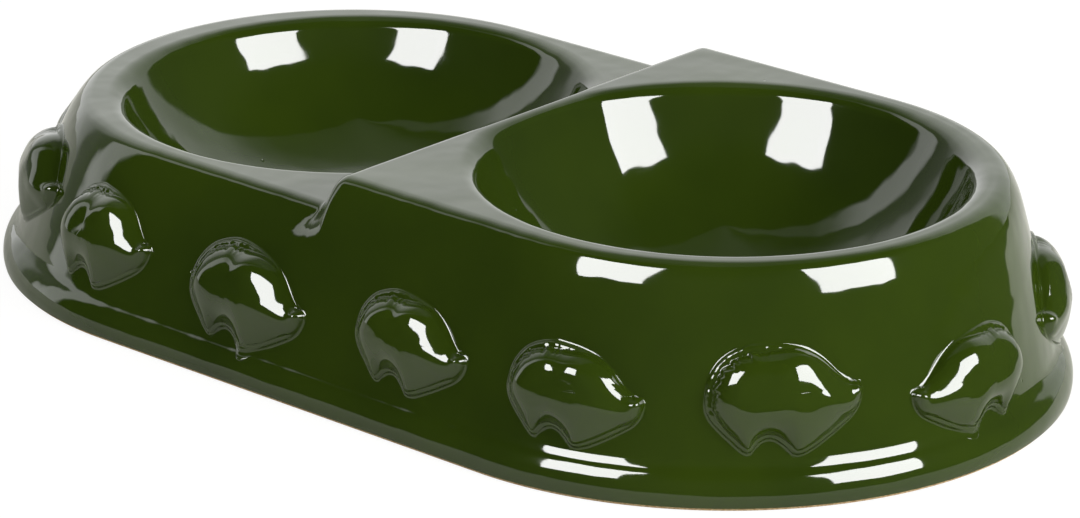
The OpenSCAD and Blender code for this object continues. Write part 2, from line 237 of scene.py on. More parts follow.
def deck_height(x):
    """Height of the top along the length: lower deck, hollow, slope, rolled edge, upper deck."""
    x = np.asarray(x, float)
    into_hollow = np.clip(x - STEP_START, 0, STEP_FOOT_RADIUS)
    hollow = LOWER_HEIGHT + STEP_FOOT_RADIUS - np.sqrt(STEP_FOOT_RADIUS ** 2 - into_hollow ** 2)
    slope = LOWER_HEIGHT + (x - STEP_FOOT) * math.tan(STEP_SLOPE)
    from_roll = np.clip(STEP_END - x, 0, STEP_TOP_RADIUS)
    roll = UPPER_HEIGHT - STEP_TOP_RADIUS + np.sqrt(STEP_TOP_RADIUS ** 2 - from_roll ** 2)
    return np.select([x <= STEP_START, x < HOLLOW_END, x <= ROLL_START, x < STEP_END],
                     [LOWER_HEIGHT, hollow, slope, roll], UPPER_HEIGHT)


def deck_tilt(x):
    """Slope of the top along the length, in radians."""
    x = np.asarray(x, float)
    hollow = np.arcsin(np.clip((x - STEP_START) / STEP_FOOT_RADIUS, 0, 1))
    roll = np.arcsin(np.clip((STEP_END - x) / STEP_TOP_RADIUS, 0, 1))
    return np.select([x <= STEP_START, x < HOLLOW_END, x <= ROLL_START, x < STEP_END],
                     [0, hollow, STEP_SLOPE, roll], 0)


def lip_along(reach):
    """Outer radius and roll of a lip along a ray of this length: over the web there is less room."""
    lack = WEB_SOFTNESS * np.log1p(np.exp((LIP_OUTER - reach) / WEB_SOFTNESS))
    return LIP_OUTER - lack, LIP_RADIUS - WEB_ROLL_SHARE * lack


def top_surface(x, reach, lip_outer, lip_radius):
    """Height of deck and lip at a reach from the bowl's middle."""
    dip = np.clip(lip_outer - reach, 0, lip_radius)
    drop = lip_radius - np.sqrt(lip_radius ** 2 - dip ** 2)
    return deck_height(x) - drop / np.cos(deck_tilt(x))


def wall_slope(top):
    """Run over rise of the straight wall that the easing under a deck of this height runs into."""
    return ((WAIST[0] - SHOULDER_OUT - EASING / 4 * SHOULDER_SLOPE)
            / (top - SHOULDER_DROP - EASING / 4 - WAIST[1]))


def wall_radius(z, top):
    """Outer half width of the wall at a height under the shoulder."""
    slope = wall_slope(top)
    into_easing = np.clip((z - (top - SHOULDER_DROP - EASING)) / EASING, 0, 1)
    upright = (WAIST[0] - (z - WAIST[1]) * slope
               - EASING / 4 * (SHOULDER_SLOPE - slope) * into_easing ** 4)
    into_flare = np.maximum(FLARE_RADIUS ** 2 - (FLARE_CENTRE[1] - z) ** 2, 0)
    flare = FLARE_CENTRE[0] - np.sqrt(into_flare)
    return np.where(z >= WAIST[1], upright, flare)


def lean_height(x, z):
    """Deck height that the wall leans by at a point: down the wall the step spreads and fades."""
    under = np.maximum(LOWER_HEIGHT - SHOULDER_DROP - z, 0)
    spread = 1 + STEP_SPREAD * under ** STEP_SPREAD_POWER
    return deck_height(ROLL_START + (x - ROLL_START) / spread)


def end_centre(along, share):
    """Place along the length of the half circle's axis for a column, 0 at the upper end and 1 at the
    lower end, at a share of the way from the foot to the deck."""
    high = blend(FOOT_SPAN / 2, UPPER_DECK_X, share)
    low = blend(-FOOT_SPAN / 2, LOWER_DECK_X, share)
    return blend(high, low, along)


def plan_columns():
    """Columns round the body, counter-clockwise from the front of the upper end: share along, angle."""
    roll = np.linspace(0, STEP_SLOPE, ROLL_COLUMNS)
    hollow = np.linspace(STEP_SLOPE, 0, HOLLOW_COLUMNS)
    step = np.concatenate([STEP_END - STEP_TOP_RADIUS * np.sin(roll),
                           np.linspace(ROLL_START, HOLLOW_END, SLOPE_COLUMNS)[1:-1],
                           STEP_START + STEP_FOOT_RADIUS * np.sin(hollow)])
    side = np.concatenate([np.linspace(UPPER_DECK_X, STEP_END, UPPER_SIDE_COLUMNS)[1:-1], step,
                           np.linspace(STEP_START, LOWER_DECK_X, LOWER_SIDE_COLUMNS)[1:-1]])
    along = (UPPER_DECK_X - side) / (UPPER_DECK_X - LOWER_DECK_X)
    around = np.linspace(0, math.pi, END_COLUMNS)
    return np.concatenate([
        np.stack([np.zeros(END_COLUMNS), around - QUARTER_TURN], 1),
        np.stack([along, np.full(len(along), QUARTER_TURN)], 1),
        np.stack([np.ones(END_COLUMNS), around + QUARTER_TURN], 1),
        np.stack([along[::-1], np.full(len(along), 3 * QUARTER_TURN)], 1)])


def arc(centre, radius, start, end, count):
    """Points of an arc, both ends included."""
    t = np.linspace(start, end, count)
    return np.stack([centre[0] + radius * np.cos(t), centre[1] + radius * np.sin(t)], 1)


def swung(section, centre, angle):
    """A section of half widths and heights, swung round the axis at this place along the length."""
    return np.stack([centre + section[:, 0] * math.cos(angle), section[:, 0] * math.sin(angle),
                     section[:, 1]], 1)


def wall_grid():
    """Outside of the wall from the deck's edge down to the bare foot, and the inside behind it."""
    outside, inside = [], []
    for along, angle in plan_columns():
        x = blend(UPPER_DECK_X, LOWER_DECK_X, along)
        top = float(deck_height(x))
        start = top - SHOULDER_DROP
        shoulder = arc((DECK_RADIUS, top - SHOULDER), SHOULDER,
                       QUARTER_TURN, QUARTER_TURN - SHOULDER_TURN, SHOULDER_ROWS)
        heights = np.linspace(start, WAIST[1], WALL_ROWS)[1:-1]
        straight = np.stack([wall_radius(heights, lean_height(x, heights)), heights], 1)
        flare = arc(FLARE_CENTRE, FLARE_RADIUS, math.pi + WALL_LEAN, math.pi + FLARE_ANGLE, FLARE_ROWS)
        edge = arc(EDGE_CENTRE, EDGE_RADIUS, FLARE_ANGLE, 0, EDGE_ROWS)[1:]
        heel = arc(HEEL_CENTRE, HEEL_RADIUS, 0, -HEEL_ANGLE, HEEL_ROWS)[1:]
        section = np.concatenate([shoulder, straight, flare, edge, heel])
        share = np.clip((section[:, 1] - WAIST[1]) / (start - WAIST[1]), 0, 1)
        back_z = np.minimum(section[:, 1], top - DECK_THICKNESS)
        back_r = np.interp(back_z, [BARE_HEIGHT, WAIST[1], top - DECK_THICKNESS],
                           [FOOT_INNER, WAIST[0] - WALL_THICKNESS, DECK_RADIUS])
        centre = end_centre(along, share)
        outside.append(swung(section, centre, angle))
        inside.append(swung(np.stack([back_r, back_z], 1), centre, angle))
    return np.array(outside), np.array(inside)


def dish_arc(rim, floor_radius, lip_outer, lip_radius):
    """Radius of the arc from a bowl's level floor to its lip, and its slope from upright there."""
    out = lip_outer - floor_radius
    up = rim - lip_radius - BOWL_FLOOR
    radius = (out ** 2 + up ** 2 - lip_radius ** 2) / (2 * (rim - BOWL_FLOOR))
    return radius, math.asin((radius - up) / (radius + lip_radius))


def bowl_ray(centre_x, end, deck_rows):
    """Section of a bowl and its deck along one ray from the bowl's middle to a point of the plan."""
    reach = math.hypot(end[0] - centre_x, end[1])
    heading = np.array([(end[0] - centre_x) / reach, end[1] / reach])
    rim, floor_radius = ((UPPER_HEIGHT, UPPER_FLOOR_RADIUS) if centre_x > 0
                         else (LOWER_HEIGHT, LOWER_FLOOR_RADIUS))
    lip_outer, lip_radius = lip_along(reach)
    dish, slope = dish_arc(rim, floor_radius, lip_outer, lip_radius)
    dish_centre = (floor_radius, BOWL_FLOOR + dish)
    lip_low = lip_outer - lip_radius * math.cos(slope)
    lip_high = min(lip_outer, lip_low + LIP_ROOM_SHARE * (reach - lip_low))

    def with_top(reaches):
        """Points of lip and deck at these reaches."""
        heights = top_surface(centre_x + heading[0] * reaches, reaches, lip_outer, lip_radius)
        return np.stack([reaches, heights], 1)

    def placed(points):
        """Points of reach and height, set out along the ray."""
        return np.stack([centre_x + heading[0] * points[:, 0], heading[1] * points[:, 0],
                         points[:, 1]], 1)

    floor = np.stack([np.linspace(0, floor_radius, FLOOR_ROWS + 1)[:-1],
                      np.full(FLOOR_ROWS, BOWL_FLOOR)], 1)
    side = arc(dish_centre, dish, -QUARTER_TURN, -slope, SIDE_ROWS + 1)[:-1]
    lip_turn = np.linspace(slope, math.acos((lip_outer - lip_high) / lip_radius), LIP_ROWS)
    lip = with_top(lip_outer - lip_radius * np.cos(lip_turn))
    # Where the lip climbs the step, the side's last rows stretch up to it
    lift = lip[0, 1] - (BOWL_FLOOR + dish - dish * math.sin(slope))
    side[-STRETCHED_ROWS:, 1] += lift * np.arange(STRETCHED_ROWS) / STRETCHED_ROWS

    # Deck: as many rows on every ray, closer together where the step bends
    fine = np.linspace(lip_high, reach, RAY_SAMPLES)
    x = centre_x + heading[0] * fine
    in_bend = (x > STEP_START) & (x < HOLLOW_END) | (x > ROLL_START) & (x < STEP_END)
    bends = np.where(in_bend, BEND_CROWDING, FLAT_CROWDING)
    steps = (bends[1:] + bends[:-1]) / 2 * abs(heading[0]) + LEAST_CROWDING
    crowd = np.concatenate([[0], np.cumsum(steps)])
    deck = with_top(np.interp(np.linspace(0, crowd[-1], deck_rows + 1)[1:], crowd, fine))

    # Underside: the bowl keeps its thickness, and under the lip and deck it is flat
    under_z = rim - DECK_THICKNESS
    under_end = math.asin((BOWL_FLOOR + dish - under_z) / (dish + BOWL_THICKNESS))
    under_side = arc(dish_centre, dish + BOWL_THICKNESS, -QUARTER_TURN, -under_end, SIDE_ROWS)
    inner = under_side[-1, 0]
    level = np.concatenate([np.linspace(inner, max(inner, lip_high), LIP_ROWS),
                            np.maximum(deck[:, 0], inner)])
    under = np.concatenate([floor - [0, BOWL_THICKNESS], under_side,
                            np.stack([level, np.full(len(level), under_z)], 1)])
    return placed(np.concatenate([floor, side, lip, deck])), placed(under)


def bowl_grid(centre_x, ends, deck_rows):
    """Rays from a bowl's middle to all the given points of the plan, and what lies under them."""
    top, under = zip(*[bowl_ray(centre_x, end, deck_rows) for end in ends])
    under = np.array(under)
    keep_to_side = np.minimum if centre_x < 0 else np.maximum
    under[..., 0] = keep_to_side(under[..., 0], STEP_END)
    return np.array(top), under


def grid_faces(columns, rows, base):
    """Outward quads of a grid whose last column meets its first."""
    c = np.arange(columns)[:, None]
    r = np.arange(rows - 1)[None, :]
    here = base + c * rows + r
    ahead = base + (c + 1) % columns * rows + r
    return np.stack([ahead, ahead + 1, here + 1, here], -1).reshape(-1, 4)


def cast_body():
    """The glazed skin as points, what lies behind each, and faces with the tags of their pieces."""
    wall_top, wall_under = wall_grid()
    rim = wall_top[:, 0, :2]
    count = len(rim)
    # Corners of the step on the deck's edge, back and front
    back = int(np.argmin(np.hypot(rim[:, 0] - STEP_END, rim[:, 1] - DECK_RADIUS)))
    front = int(np.argmin(np.hypot(rim[:, 0] - STEP_END, rim[:, 1] + DECK_RADIUS)))
    seam = [(STEP_END, y) for y in np.linspace(-DECK_RADIUS, DECK_RADIUS, SEAM_COLUMNS)]
    low_ends = seam + [tuple(rim[i]) for i in range(back + 1, front)]
    high_ends = seam[::-1] + [tuple(rim[i % count]) for i in range(front + 1, count + back)]
    low_top, low_under = bowl_grid(LOWER_BOWL_X, low_ends, LOWER_DECK_ROWS)
    high_top, high_under = bowl_grid(UPPER_BOWL_X, high_ends, UPPER_DECK_ROWS)

    points, behind, faces, tags = [], [], [], []
    base = 0
    for part, top, under in (("wall", wall_top, wall_under), ("low", low_top, low_under),
                             ("high", high_top, high_under)):
        quads = grid_faces(len(top), top.shape[1], base)
        middle = top.reshape(-1, 3)[quads - base].mean(1)
        in_bowl = np.tile(np.arange(top.shape[1] - 1), len(top)) < BOWL_ROWS - 1
        if part == "wall":
            tag = np.full(len(quads), WALL)
        elif part == "low":
            deck = np.where(middle[:, 0] > STEP_START, STEP_RISER, LOWER_DECK)
            tag = np.where(in_bowl, LOWER_BOWL, deck)
        else:
            on_web = (np.abs(middle[:, 1]) < WEB_HALF_LENGTH) & (middle[:, 0] < STEP_END + WEB_REACH)
            tag = np.where(in_bowl | on_web, UPPER_BOWL, UPPER_DECK)
        points.append(top.reshape(-1, 3))
        behind.append(under.reshape(-1, 3))
        faces.append(quads)
        tags.append(tag)
        base += len(points[-1])
    return [np.concatenate(parts) for parts in (points, behind, faces, tags)]


def weld(points, behind, faces):
    """Merges points that lie in the same place, so that the glaze runs on over every seam."""
    _, first, index = np.unique(np.round(points, WELD_DIGITS), axis=0, return_index=True,
                                return_inverse=True)
    return points[first], behind[first], index.reshape(-1)[faces]


def skin_normals(points, faces):
    """Normals of a skin, each face weighted by its corner's angle."""
    no_length, no_area = 1e-12, 1e-10
    total = np.zeros_like(points)
    for k in range(4):
        here, ahead, before = faces[:, k], faces[:, (k + 1) % 4], faces[:, (k - 1) % 4]
        # A quad that closes on a pole has two corners in one place
        ahead = np.where(ahead == here, faces[:, (k + 2) % 4], ahead)
        before = np.where(before == here, faces[:, (k - 2) % 4], before)
        e, f = points[ahead] - points[here], points[before] - points[here]
        cross = np.cross(e, f)
        size = np.linalg.norm(cross, axis=1)
        angle = np.where(size > no_area, np.arctan2(size, (e * f).sum(1)), 0)
        np.add.at(total, here, cross / np.maximum(size, no_length)[:, None] * angle[:, None])
    return total / np.maximum(np.linalg.norm(total, axis=1), no_length)[:, None]


def closed_piece(name, points, behind, faces, normals):
    """A piece of the skin with its own underside and edges, shaded with the whole skin's normals."""
    used, index = np.unique(faces, return_inverse=True)
    faces = index.reshape(faces.shape)
    count = len(used)
    skin = [[v for i, v in enumerate(face) if v != face[i - 1]] for face in faces.tolist()]
    edges = {(face[i - 1], face[i]) for face in skin for i in range(len(face))}
    rims = [(a, b) for a, b in edges if (b, a) not in edges]
    vertices = np.concatenate([points[used], behind[used]]) * MM
    under = [[v + count for v in reversed(face)] for face in skin]
    bands = [[b, a, a + count, b + count] for a, b in sorted(rims)]
    mesh = bpy.data.meshes.new(name)
    mesh.from_pydata(vertices.tolist(), [], skin + under + bands)
    mesh.polygons.foreach_set("use_smooth", [True] * len(skin) + [False] * len(under + bands))
    corner_normals = [tuple(normals[used[v]]) for face in skin for v in face]
    corner_normals += [(0.0, 0.0, 0.0)] * sum(len(face) for face in under + bands)
    mesh.normals_split_custom_set(corner_normals)
    mesh.validate()
    return mesh


# Foot ring

def foot_ring_mesh():
    """Bare ring that the bowl stands on, its edges rubbed round."""
    outer, inner = FOOT_OUTER - FOOT_RUBBED, FOOT_INNER + FOOT_RUBBED
    section = np.concatenate([
        [[outer, BARE_HEIGHT], [FOOT_OUTER, BARE_HEIGHT]],
        arc((outer, FOOT_RUBBED), FOOT_RUBBED, 0, -QUARTER_TURN, HEEL_ROWS),
        arc((inner, FOOT_RUBBED), FOOT_RUBBED, -QUARTER_TURN, -math.pi, HEEL_ROWS),
        [[FOOT_INNER, BARE_HEIGHT]]])
    grid = np.array([swung(section, end_centre(along, 0), angle) for along, angle in plan_columns()])
    count, rows = grid.shape[:2]
    faces = []
    for c in range(count):
        d = (c + 1) % count
        for r in range(rows):
            q = (r + 1) % rows
            faces.append((c * rows + r, d * rows + r, d * rows + q, c * rows + q))
    mesh = bpy.data.meshes.new("foot_ring_bare")
    mesh.from_pydata((grid.reshape(-1, 3) * MM).tolist(), [], faces)
    mesh.validate()
    return mesh


# Materials

def linear(code):
    """sRGB hex colour as linear RGBA."""
    parts = [int(code[i:i + 2], 16) / 255 for i in (1, 3, 5)]
    return tuple(c / 12.92 if c <= 0.04045 else ((c + 0.055) / 1.055) ** 2.4 for c in parts) + (1.0,)


def add(tree, kind, links=None, values=None, **settings):
    """Adds a node: settings are its properties, values its sockets' numbers, links its sources."""
    item = tree.nodes.new(kind)
    for key, value in settings.items():
        setattr(item, key, value)
    for key, value in (values or {}).items():
        item.inputs[key].default_value = value
    for key, source in (links or {}).items():
        tree.links.new(source, item.inputs[key])
    return item


def ramp(item, stops):
    """Sets the colours of a colour ramp: (place, linear colour) pairs."""
    elements = item.color_ramp.elements
    while len(elements) < len(stops):
        elements.new(0.5)
    for element, (place, colour) in zip(elements, stops):
        element.position = place
        element.color = colour


def new_material(name):
    """An empty node material and its tree."""
    material = bpy.data.materials.new(name)
    material.use_nodes = True
    material.node_tree.nodes.clear()
    return material, material.node_tree


def bottle_green_glaze():
    """Glossy lead-free stoneware glaze, dipped and fired: deep olive green, wet-looking, a little
    lighter where it ran thin, with a faint orange-peel ripple and a few burst pinholes."""
    material, tree = new_material("bottle_green_glaze")
    place = add(tree, "ShaderNodeTexCoord").outputs["Object"]
    # Glaze gathers and thins in clouds about 40 mm across, so scale 25 per metre
    clouds = add(tree, "ShaderNodeTexNoise", {"Vector": place},
                 {"Scale": 25.0, "Detail": 3.0, "Roughness": 0.5})
    depth = add(tree, "ShaderNodeValToRGB", {"Fac": clouds.outputs["Fac"]})
    ramp(depth, [(0.3, linear("#28370a")), (0.7, linear("#30400b"))])
    # The surface swells in waves of about 13 mm with a finer ripple of about 5 mm, so what it
    # mirrors wobbles
    waves = add(tree, "ShaderNodeTexNoise", {"Vector": place}, {"Scale": 75.0, "Detail": 0.0})
    ripple = add(tree, "ShaderNodeTexNoise", {"Vector": place}, {"Scale": 200.0, "Detail": 0.0})
    swell = add(tree, "ShaderNodeMath", {0: ripple.outputs["Fac"], 2: waves.outputs["Fac"]}, {1: 0.4},
                operation="MULTIPLY_ADD")
    # Pinholes about 1 mm across their rim, one every 18 mm or so
    pits = add(tree, "ShaderNodeTexVoronoi", {"Vector": place}, {"Scale": 55.0, "Randomness": 1.0})
    pit = add(tree, "ShaderNodeMapRange", {"Value": pits.outputs["Distance"]},
              {"From Min": 0.012, "From Max": 0.03, "To Min": 0.0, "To Max": 1.0},
              interpolation_type="SMOOTHSTEP")
    height = add(tree, "ShaderNodeMath", {0: swell.outputs["Value"], 1: pit.outputs["Result"]})
    bump = add(tree, "ShaderNodeBump", {"Height": height.outputs["Value"]},
               {"Strength": 1.0, "Distance": 0.0002})
    shader = add(tree, "ShaderNodeBsdfPrincipled",
                 {"Base Color": depth.outputs["Color"], "Normal": bump.outputs["Normal"]},
                 {"Roughness": 0.05, "IOR": 1.52})
    add(tree, "ShaderNodeOutputMaterial", {"Surface": shader.outputs["BSDF"]})
    return material


def bare_stoneware():
    """Unglazed fired clay of the foot, wiped clean before firing: matte, warm tan, fine sandy grain."""
    material, tree = new_material("bare_stoneware")
    place = add(tree, "ShaderNodeTexCoord").outputs["Object"]
    # Grog specks of about 0.6 mm
    grain = add(tree, "ShaderNodeTexNoise", {"Vector": place}, {"Scale": 1600.0, "Detail": 4.0})
    tone = add(tree, "ShaderNodeValToRGB", {"Fac": grain.outputs["Fac"]})
    ramp(tone, [(0.35, linear("#b08c5c")), (0.65, linear("#d8bd92"))])
    bump = add(tree, "ShaderNodeBump", {"Height": grain.outputs["Fac"]},
               {"Strength": 0.5, "Distance": 0.0002})
    shader = add(tree, "ShaderNodeBsdfPrincipled",
                 {"Base Color": tone.outputs["Color"], "Normal": bump.outputs["Normal"]},
                 {"Roughness": 0.85, "IOR": 1.5})
    add(tree, "ShaderNodeOutputMaterial", {"Surface": shader.outputs["BSDF"]})
    return material


# The hedgehog sprig

def smooth_outline():
    """The outline as a smooth closed curve through its points, in millimetres along and up."""
    control = np.array(OUTLINE_SHARES) * [HEDGEHOG_LENGTH, HEDGEHOG_HEIGHT]
    control = control - [HEDGEHOG_LENGTH / 2, 0]
    before, here = np.roll(control, 1, 0), control
    ahead, after = np.roll(control, -1, 0), np.roll(control, -2, 0)
    curve = []
    for t in np.arange(OUTLINE_STEPS) / OUTLINE_STEPS:
        curve.append(0.5 * (2 * here + (ahead - before) * t
                            + (2 * before - 5 * here + 4 * ahead - after) * t ** 2
                            + (3 * here - before - 3 * ahead + after) * t ** 3))
    return np.stack(curve, 1).reshape(-1, 2)


def edge_distances(flat, outline):
    """Distance of flat points from the outline, and a soft one that has no crease along the body."""
    points_at_once, least = 400, 0.05
    step = np.linalg.norm(np.roll(outline, -1, 0) - outline, axis=1)
    gaps, pulls = [], []
    for first in range(0, len(flat), points_at_once):
        away = np.linalg.norm(flat[first:first + points_at_once, None] - outline[None], axis=2)
        gaps.append(away.min(1))
        pulls.append((step / np.maximum(away, least) ** 5).sum(1))
    # Along a straight edge the pull is 4/3 of the distance to the power of -4
    return np.concatenate(gaps), (np.concatenate(pulls) * 0.75) ** -0.25


def begun(turn, start):
    """Soft step from 0 to 1 that starts at a heading and takes a run, both in degrees."""
    return smooth((turn - start[0]) / start[1])


def sprig_depth(u, v, inward, heading, run):
    """How far the relief stands off the wall, from shares of length and height, the way in from the
    outline, the heading in degrees from the body's middle, and the run along the outline."""
    nose_thin = blend(1, NOSE_THIN, np.clip((u - NOSE_START) / (1 - NOSE_START), 0, 1))
    foot_thin = blend(FOOT_THIN, 1, smooth(v / FOOT_START))
    full = HEDGEHOG_DEPTH * nose_thin * foot_thin

    turn = np.where(heading < HEADING_SEAM, heading + 360, heading)
    spines = begun(turn, SPINES_FROM) * (1 - begun(turn, SPINES_TO))
    flange = 1 - begun(turn, FACE_FROM) * (1 - begun(turn, FACE_TO))
    ledge = FLANGE_WIDTH * flange + SPINE_WIDTH * spines
    ragged = (sum(height * np.sin(run * rate + phase) for height, rate, phase in RAGGED_WAVES)
              / sum(height for height, _, _ in RAGGED_WAVES))
    fade = np.exp(-(np.maximum(inward - ledge, 0) / SPINE_FADE) ** 2)
    start = ledge + spines ** 3 * SPINE_RAGGED * ragged * fade

    flange_rise = FLANGE_HEIGHT * (1 - np.exp(-np.maximum(inward, 0) / FLANGE_RUN))
    edge = np.where(inward < 0, FILLET_HEIGHT * np.exp(inward / FILLET_RUN),
                    FILLET_HEIGHT + flange_rise)
    edge = edge + spines * SPINE_HEIGHT * ragged * smooth(inward / SPINE_RUN) * fade
    rise = np.clip((inward - start) / DOME_RUN, 0, 1)
    dome = (1 - (1 - rise) ** DOME_TOP) ** DOME_EDGE
    depth = edge + np.maximum(full - (FILLET_HEIGHT + FLANGE_HEIGHT), DOME_LEAST) * dome
    for swell_u, swell_v, radius, height in SWELLINGS:
        away = np.hypot((u - swell_u) * HEDGEHOG_LENGTH, (v - swell_v) * HEDGEHOG_HEIGHT)
        swelling = height * np.exp(-(away / radius) ** 2)
        depth = depth + swelling * (inward > 0) * smooth(inward / SWELLING_RUN)
    return depth - PRESSED_IN


def hedgehog_sprig():
    """One hedgehog pressed flat: x along its body towards the nose, y up, z off the wall."""
    outline = smooth_outline()
    count = len(outline)
    centre = np.array([(BODY_MIDDLE_SHARES[0] - 0.5) * HEDGEHOG_LENGTH,
                       BODY_MIDDLE_SHARES[1] * HEDGEHOG_HEIGHT])
    spoke = outline - centre
    rings = [1 - step / np.linalg.norm(spoke, axis=1) for step in EDGE_STEPS]
    rings += [rings[-1] * share for share in INNER_SHARES]
    flat = np.array([centre + ring[:, None] * spoke for ring in rings])
    flat = np.concatenate([flat.reshape(-1, 2), [centre]])
    gap, soft = edge_distances(flat, outline)
    outside = np.concatenate([np.repeat(EDGE_STEPS < 0, count),
                              np.zeros(len(INNER_SHARES) * count + 1, bool)])
    softened = blend(gap, np.minimum(soft, gap * SOFT_MOST), smooth((gap - SOFT_START) / SOFT_RUN))
    inward = np.where(outside, -gap, softened)
    u = flat[:, 0] / HEDGEHOG_LENGTH + 0.5
    v = flat[:, 1] / HEDGEHOG_HEIGHT
    heading = np.degrees(np.arctan2(flat[:, 1] - centre[1], flat[:, 0] - centre[0]))
    around = np.cumsum(np.linalg.norm(np.roll(outline, -1, 0) - outline, axis=1))
    run = np.concatenate([np.tile(around, len(rings)), [0]])
    depth = sprig_depth(u, v, inward, heading, run)

    front = np.concatenate([flat, depth[:, None]], 1)
    back = np.concatenate([flat, np.full((len(flat), 1), -BACK_DEPTH)], 1)
    faces = []
    for ring in range(len(rings) - 1):
        for i in range(count):
            here, ahead = ring * count + i, ring * count + (i + 1) % count
            faces.append((here, ahead, ahead + count, here + count))
    last = (len(rings) - 1) * count
    faces += [(last + i, last + (i + 1) % count, last + count) for i in range(count)]
    under = [tuple(v + len(flat) for v in reversed(face)) for face in faces]
    bands = [((i + 1) % count, i, i + len(flat), (i + 1) % count + len(flat)) for i in range(count)]
    mesh = bpy.data.meshes.new("hedgehog_sprig")
    mesh.from_pydata((np.concatenate([front, back]) * MM).tolist(), [], faces + under + bands)
    mesh.polygons.foreach_set("use_smooth", [True] * len(mesh.polygons))
    mesh.validate()
    return mesh


def wall_guide():
    """Outside of the wall unrolled past both ends: its map gives distance round the path and height."""
    path_height = HEDGEHOG_FOOT + HEDGEHOG_HEIGHT / 2
    radius = float(wall_radius(path_height, (LOWER_HEIGHT + UPPER_HEIGHT) / 2))
    quarter = radius * math.pi / 2
    half = 2 * quarter + FOOT_SPAN
    reach = half + GUIDE_OVERRUN
    s, z = np.meshgrid(np.linspace(-reach, reach, GUIDE_COLUMNS), GUIDE_ROWS, indexing="ij")
    wrapped = (s + half) % (2 * half) - half
    a = np.abs(wrapped)
    along = np.clip((a - quarter) / FOOT_SPAN, 0, 1)
    bend = np.where(a <= quarter, a, np.where(a <= quarter + FOOT_SPAN, quarter, a - FOOT_SPAN))
    angle = bend / radius
    x = blend(UPPER_DECK_X, LOWER_DECK_X, along)
    share = np.clip((z - WAIST[1]) / (deck_height(x) - SHOULDER_DROP - WAIST[1]), 0, 1)
    r = wall_radius(z, lean_height(x, z))
    side = np.where(wrapped < 0, -1, 1)
    points = np.stack([end_centre(along, share) + r * np.cos(angle), side * r * np.sin(angle), z], -1)
    columns, rows = s.shape
    base = np.arange(columns - 1)[:, None] * rows + np.arange(rows - 1)[None, :]
    faces = np.stack([base, base + rows, base + rows + 1, base + 1], -1).reshape(-1, 4)
    mesh = bpy.data.meshes.new("wall_guide")
    mesh.from_pydata((points.reshape(-1, 3) * MM).tolist(), [], faces.tolist())
    mesh.polygons.foreach_set("use_smooth", [True] * len(mesh.polygons))
    # The map runs from 0 to 1 both ways
    flat = np.stack([(s / reach + 1) / 2, z / GUIDE_HEIGHT, np.zeros_like(z)], -1)
    attribute = mesh.attributes.new("wall_map", "FLOAT_VECTOR", "POINT")
    attribute.data.foreach_set("vector", flat.ravel())
    guide = bpy.data.objects.new("wall_guide", mesh)
    bpy.context.scene.collection.objects.link(guide)
    return guide, half


